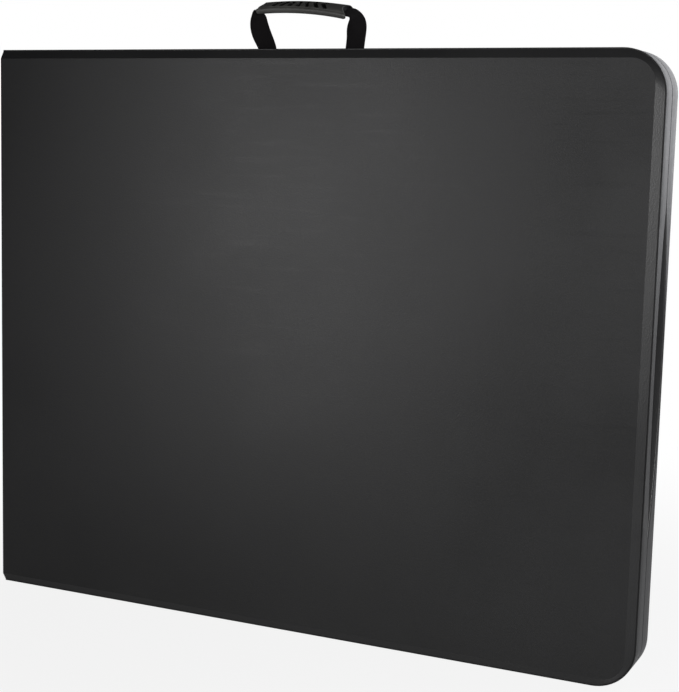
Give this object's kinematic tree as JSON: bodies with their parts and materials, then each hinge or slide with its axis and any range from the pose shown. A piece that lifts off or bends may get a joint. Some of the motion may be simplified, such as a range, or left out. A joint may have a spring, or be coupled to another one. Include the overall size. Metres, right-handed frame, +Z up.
{
  "type": "folding table",
  "caption": "Bi-fold moulded plastic table folded like a suitcase, standing on a long edge, with a webbing carry handle and steel swing-out leg frames inside.",
  "frame": {"origin": "middle of the closed table's footprint, on the floor", "axes": "+X along the halves from the fold hinge to the open end, +Y from the near half to the far half, +Z up the table's width"},
  "size_m": [0.92, 0.07, 0.8078],
  "materials": {
    "table_plastic": "matte",
    "frame_paint": "satin",
    "zinc_steel": "satin",
    "foot_plastic": "matte",
    "webbing": "matte",
    "grip_plastic": "matte"
  },
  "bodies": {
    "near_half": {"near_top": "table_plastic", "near_hinge_leaves": "zinc_steel", "hinge_pins": "zinc_steel", "near_hinge_screws": "zinc_steel", "near_side_rails": "frame_paint", "near_rail_rivets": "zinc_steel", "near_leg_brackets": "zinc_steel", "near_leg_clips": "foot_plastic", "near_brace_bracket": "zinc_steel", "near_brace_pivots": "zinc_steel", "near_bracket_screws": "zinc_steel", "strap_tails": "webbing", "strap_plates": "zinc_steel", "strap_screws": "zinc_steel", "latch_screw": "zinc_steel"},
    "far_half": {"far_top": "table_plastic", "far_hinge_leaves": "zinc_steel", "far_hinge_screws": "zinc_steel", "far_side_rails": "frame_paint", "far_rail_rivets": "zinc_steel", "far_leg_brackets": "zinc_steel", "far_leg_clips": "foot_plastic", "far_brace_bracket": "zinc_steel", "far_brace_pivots": "zinc_steel", "far_bracket_screws": "zinc_steel"},
    "near_leg": {"near_leg_pivot_tube": "frame_paint", "near_leg_uprights": "frame_paint", "near_leg_crossbar": "frame_paint", "near_leg_feet": "foot_plastic"},
    "far_leg": {"far_leg_pivot_tube": "frame_paint", "far_leg_uprights": "frame_paint", "far_leg_crossbar": "frame_paint", "far_leg_feet": "foot_plastic"},
    "near_brace_arm": {"near_brace_straps": "frame_paint", "near_brace_rivet": "zinc_steel"},
    "near_brace_strut": {"near_brace_tube": "frame_paint"},
    "far_brace_arm": {"far_brace_straps": "frame_paint", "far_brace_rivet": "zinc_steel"},
    "far_brace_strut": {"far_brace_tube": "frame_paint"},
    "handle": {"carry_strap": "webbing", "carry_grip": "grip_plastic"},
    "latch": {"latch_plate": "zinc_steel"}
  },
  "joints": [
    {"name": "fold", "type": "hinge", "parent": "near_half", "child": "far_half", "pos_m": [-0.4575, 0, 0.375], "axis": [0, 0, 1], "range_deg": [0, 180]},
    {"name": "near_leg_swing", "type": "hinge", "parent": "near_half", "child": "near_leg", "pos_m": [0.4245, -0.0115, 0.375], "axis": [0, 0, -1], "range_deg": [0, 90]},
    {"name": "far_leg_swing", "type": "hinge", "parent": "far_half", "child": "far_leg", "pos_m": [0.4245, 0.0115, 0.375], "axis": [0, 0, 1], "range_deg": [0, 90]},
    {"name": "near_brace_fold", "type": "hinge", "parent": "near_half", "child": "near_brace_arm", "pos_m": [-0.0155, -0.0115, 0.403], "axis": [0, 0, -1], "range_deg": [0, 138.45]},
    {"name": "near_brace_joint", "type": "hinge", "parent": "near_brace_arm", "child": "near_brace_strut", "pos_m": [-0.28448, -0.0115, 0.403], "axis": [0, 0, 1], "range_deg": [0, 180]},
    {"name": "far_brace_fold", "type": "hinge", "parent": "far_half", "child": "far_brace_arm", "pos_m": [-0.0155, 0.0115, 0.347], "axis": [0, 0, 1], "range_deg": [0, 138.45]},
    {"name": "far_brace_joint", "type": "hinge", "parent": "far_brace_arm", "child": "far_brace_strut", "pos_m": [-0.28448, 0.0115, 0.347], "axis": [0, 0, -1], "range_deg": [0, 180]},
    {"name": "handle_swing", "type": "hinge", "parent": "near_half", "child": "handle", "pos_m": [0, -0.0035, 0.7515], "axis": [1, 0, 0], "range_deg": [-70, 70]},
    {"name": "latch_turn", "type": "hinge", "parent": "near_half", "child": "latch", "pos_m": [0.25, -0.018, 0.7483], "axis": [0, 0, -1], "range_deg": [0, 90]}
  ],
  "couplings": [
    {"joint": "near_leg_swing", "follows": "fold", "ratio": 0.5},
    {"joint": "far_leg_swing", "follows": "fold", "ratio": 0.5},
    {"joint": "near_brace_fold", "follows": "fold", "ratio": 0.76915},
    {"joint": "near_brace_joint", "follows": "fold", "ratio": 1},
    {"joint": "far_brace_fold", "follows": "fold", "ratio": 0.76915},
    {"joint": "far_brace_joint", "follows": "fold", "ratio": 1}
  ]
}
